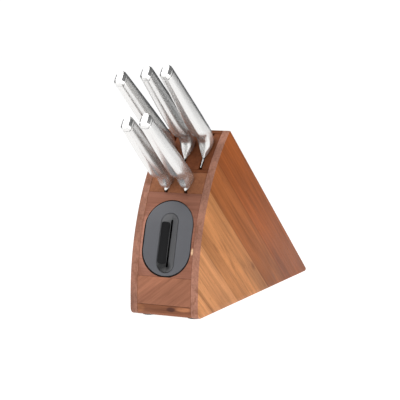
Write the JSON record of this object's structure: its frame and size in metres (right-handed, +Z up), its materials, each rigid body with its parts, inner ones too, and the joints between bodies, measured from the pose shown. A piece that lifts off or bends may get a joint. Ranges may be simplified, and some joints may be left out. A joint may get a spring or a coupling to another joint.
{
  "type": "knife block with knives",
  "caption": "Slim sloping wooden knife block with a built-in wheel sharpener in its curved front and steel-handled knives that slide out of its slots.",
  "frame": {"origin": "centre of the bounding box, on the surface that the block's feet stand on", "axes": "+Z up, +Y from the sharpener end towards the low back end, +X to the right seen from the front"},
  "size_m": [0.078, 0.388, 0.2638],
  "materials": {
    "side_wood": "oiled hardwood staves, honey to red-brown, straight grain",
    "front_wood": "oiled hardwood, dark red-brown, cross grain with purple-brown streaks",
    "deck_wood": "oiled hardwood, orange-brown fine grain",
    "handle_steel": "satin stainless steel",
    "blade_steel": "ground stainless steel",
    "plate_plastic": "matte charcoal grey",
    "black_plastic": "matte black",
    "ceramic": "fine-grained fired ceramic, matte",
    "screw_steel": "bright zinc plate",
    "foot_rubber": "matte black"
  },
  "bodies": {
    "block": {"back_board": "deck_wood", "back_row_slat_1": "deck_wood", "back_row_slat_2": "deck_wood", "back_row_slat_3": "deck_wood", "back_row_slat_4": "deck_wood", "base_board": "front_wood", "core_block": "deck_wood", "foot_front_left": "foot_rubber", "foot_front_right": "foot_rubber", "foot_rear_left": "foot_rubber", "foot_rear_right": "foot_rubber", "foot_screw_front_left": "screw_steel", "foot_screw_front_right": "screw_steel", "foot_screw_rear_left": "screw_steel", "foot_screw_rear_right": "screw_steel", "front_row_slat_1": "deck_wood", "front_row_slat_2": "deck_wood", "front_row_slat_3": "deck_wood", "guide_pad": "black_plastic", "housing_screw_lower": "screw_steel", "housing_screw_upper": "screw_steel", "left_side_panel": "side_wood", "left_spacer": "black_plastic", "lower_front_board": "front_wood", "right_side_panel": "side_wood", "right_spacer": "black_plastic", "row_divider": "deck_wood", "sharpener_axle": "screw_steel", "sharpener_board": "front_wood", "sharpener_face": "plate_plastic", "sharpener_housing": "black_plastic", "sharpener_throat": "plate_plastic"},
    "bread_knife": {"bread_knife_blade": "blade_steel", "bread_knife_end_cap": "handle_steel", "bread_knife_handle": "handle_steel"},
    "carving_knife": {"carving_knife_blade": "blade_steel", "carving_knife_end_cap": "handle_steel", "carving_knife_handle": "handle_steel"},
    "chef_knife": {"chef_knife_blade": "blade_steel", "chef_knife_end_cap": "handle_steel", "chef_knife_handle": "handle_steel"},
    "paring_knife": {"paring_knife_blade": "blade_steel", "paring_knife_end_cap": "handle_steel", "paring_knife_handle": "handle_steel"},
    "utility_knife": {"utility_knife_blade": "blade_steel", "utility_knife_end_cap": "handle_steel", "utility_knife_handle": "handle_steel"},
    "left_wheel": {"left_wheel": "ceramic"},
    "right_wheel": {"right_wheel": "ceramic"}
  },
  "joints": [
    {"name": "bread_knife_slide", "type": "slide", "parent": "block", "child": "bread_knife", "axis": [0, -0.7872, 0.6167], "range_m": [0, 0.215]},
    {"name": "carving_knife_slide", "type": "slide", "parent": "block", "child": "carving_knife", "axis": [0, -0.7872, 0.6167], "range_m": [0, 0.205]},
    {"name": "chef_knife_slide", "type": "slide", "parent": "block", "child": "chef_knife", "axis": [0, -0.7872, 0.6167], "range_m": [0, 0.21]},
    {"name": "paring_knife_slide", "type": "slide", "parent": "block", "child": "paring_knife", "axis": [0, -0.7872, 0.6167], "range_m": [0, 0.1]},
    {"name": "utility_knife_slide", "type": "slide", "parent": "block", "child": "utility_knife", "axis": [0, -0.7872, 0.6167], "range_m": [0, 0.14]},
    {"name": "left_wheel_spin", "type": "hinge", "parent": "block", "child": "left_wheel", "pos_m": [0, -0.09814, 0.07317], "axis": [1, 0, 0], "continuous": true},
    {"name": "right_wheel_spin", "type": "hinge", "parent": "block", "child": "right_wheel", "pos_m": [0, -0.09814, 0.07317], "axis": [1, 0, 0], "continuous": true}
  ]
}
